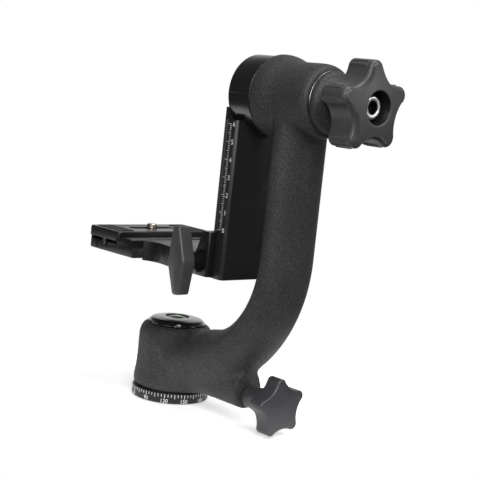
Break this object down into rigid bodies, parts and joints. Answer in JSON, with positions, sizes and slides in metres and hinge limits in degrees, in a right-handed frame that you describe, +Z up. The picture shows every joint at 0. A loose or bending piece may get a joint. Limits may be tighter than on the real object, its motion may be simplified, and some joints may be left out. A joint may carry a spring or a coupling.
{
  "type": "gimbal tripod head",
  "caption": "Side-mount gimbal head that pans and tilts a long lens: pan base, J-arm, swing arm and a sliding quick-release platform with lock knobs.",
  "frame": {"origin": "centre of the pan base's underside, at the mouth of the tripod thread", "axes": "+Z up along the pan axis; +X from the pan axis towards the J-arm's upright and the tilt knob, parallel to the tilt axis; Y along the lens"},
  "size_m": [0.2041, 0.0805, 0.2143],
  "materials": {
    "base_black": "satin black with white graduations",
    "coat_charcoal": "fine textured powder coat",
    "cap_black": "gloss black",
    "ring_dark": "gloss black",
    "vial_clear": "clear",
    "liquid_green": "green liquid",
    "anodised_black": "black anodised",
    "collar_black": "black anodised, polished",
    "bracket_black": "black anodised",
    "plate_grey": "dark grey anodised",
    "knob_grey": "satin moulded nylon",
    "steel": "machined steel",
    "chrome": "polished",
    "bearing_steel": "ground steel",
    "brass": "machined",
    "nylon": "natural nylon",
    "rubber": "matt"
  },
  "bodies": {
    "base": {"base_plate": "base_black", "thread_bushing": "brass", "pan_spindle": "steel", "spindle_screws": "steel", "thrust_washer": "nylon", "pan_bearing_lower": "bearing_steel", "pan_bearing_upper": "bearing_steel", "spindle_nut": "steel"},
    "arm": {"j_arm": "coat_charcoal", "level_cap": "cap_black", "level_ring": "ring_dark", "level_vial": "vial_clear", "level_liquid": "liquid_green", "tilt_bearing_inner": "bearing_steel", "tilt_bearing_outer": "bearing_steel"},
    "pan_brake": {"pan_brake_shoe": "nylon"},
    "pan_lock": {"pan_lock_screw": "steel", "pan_knob": "knob_grey", "pan_knob_insert": "brass"},
    "swing": {"swing_arm": "anodised_black", "swing_hub": "anodised_black", "tilt_shaft": "steel", "shaft_screws": "steel", "tilt_friction_disc": "nylon", "tilt_bolt": "chrome", "tilt_bolt_washer": "chrome"},
    "collar": {"tilt_washer": "chrome", "tilt_collar": "collar_black"},
    "tilt_lock": {"tilt_knob": "knob_grey", "tilt_knob_insert": "brass"},
    "platform": {"platform_bracket": "bracket_black", "slide_stop_pin": "steel"},
    "jaw": {"clamp_jaw": "bracket_black", "jaw_guide_pins": "steel"},
    "wing": {"wing_knob": "knob_grey", "wing_screw": "steel"},
    "release_jaw": {"qr_jaw": "bracket_black", "qr_guide_pins": "steel"},
    "release_knob": {"qr_knob": "knob_grey", "qr_screw": "steel"},
    "plate": {"camera_plate": "plate_grey", "plate_grip_pads": "rubber", "plate_stop_screws": "steel"},
    "clip": {"screw_washer": "steel"},
    "screw": {"camera_screw": "brass"}
  },
  "joints": [
    {"name": "pan", "type": "hinge", "parent": "base", "child": "arm", "pos_m": [0, 0, 0.02], "axis": [0, 0, 1], "continuous": true},
    {"name": "pan_brake_slide", "type": "slide", "parent": "arm", "child": "pan_brake", "axis": [1, 0, 0], "range_m": [0, 0.001]},
    {"name": "pan_knob_turn", "type": "hinge", "parent": "pan_brake", "child": "pan_lock", "pos_m": [0.08, 0, 0.0172], "axis": [1, 0, 0], "range_deg": [0, 288]},
    {"name": "tilt", "type": "hinge", "parent": "arm", "child": "swing", "pos_m": [0.0887, 0, 0.1895], "axis": [1, 0, 0], "continuous": true},
    {"name": "collar_slide", "type": "slide", "parent": "swing", "child": "collar", "axis": [1, 0, 0], "range_m": [0, 0.000972]},
    {"name": "tilt_knob_turn", "type": "hinge", "parent": "collar", "child": "tilt_lock", "pos_m": [0.13, 0, 0.1895], "axis": [1, 0, 0], "range_deg": [0, 200]},
    {"name": "platform_slide", "type": "slide", "parent": "swing", "child": "platform", "axis": [0, 0, 1], "range_m": [0, 0.06]},
    {"name": "jaw_slide", "type": "slide", "parent": "platform", "child": "jaw", "axis": [0, -1, 0], "range_m": [0, 0.0012]},
    {"name": "wing_turn", "type": "hinge", "parent": "jaw", "child": "wing", "pos_m": [0.0437, -0.03, 0.092], "axis": [0, -1, 0], "range_deg": [0, 432]},
    {"name": "release_slide", "type": "slide", "parent": "platform", "child": "release_jaw", "axis": [-1, 0, 0], "range_m": [0, 0.0014]},
    {"name": "release_turn", "type": "hinge", "parent": "release_jaw", "child": "release_knob", "pos_m": [-0.05, 0, 0.0882], "axis": [-1, 0, 0], "range_deg": [0, 720]},
    {"name": "plate_slide", "type": "slide", "parent": "platform", "child": "plate", "axis": [0, 1, 0], "range_m": [-0.02, 0.02]},
    {"name": "clip_slide", "type": "slide", "parent": "plate", "child": "clip", "axis": [0, 1, 0], "range_m": [-0.0135, 0.0135]},
    {"name": "screw_turn", "type": "hinge", "parent": "clip", "child": "screw", "pos_m": [-0.0332, 0, 0.095], "axis": [0, 0, 1], "continuous": true}
  ],
  "couplings": [
    {"joint": "pan_knob_turn", "follows": "pan_brake_slide", "rad_per_m": 5026.5},
    {"joint": "tilt_knob_turn", "follows": "collar_slide", "rad_per_m": 3590.4},
    {"joint": "wing_turn", "follows": "jaw_slide", "rad_per_m": 6283.1},
    {"joint": "release_turn", "follows": "release_slide", "rad_per_m": 8975.9}
  ]
}
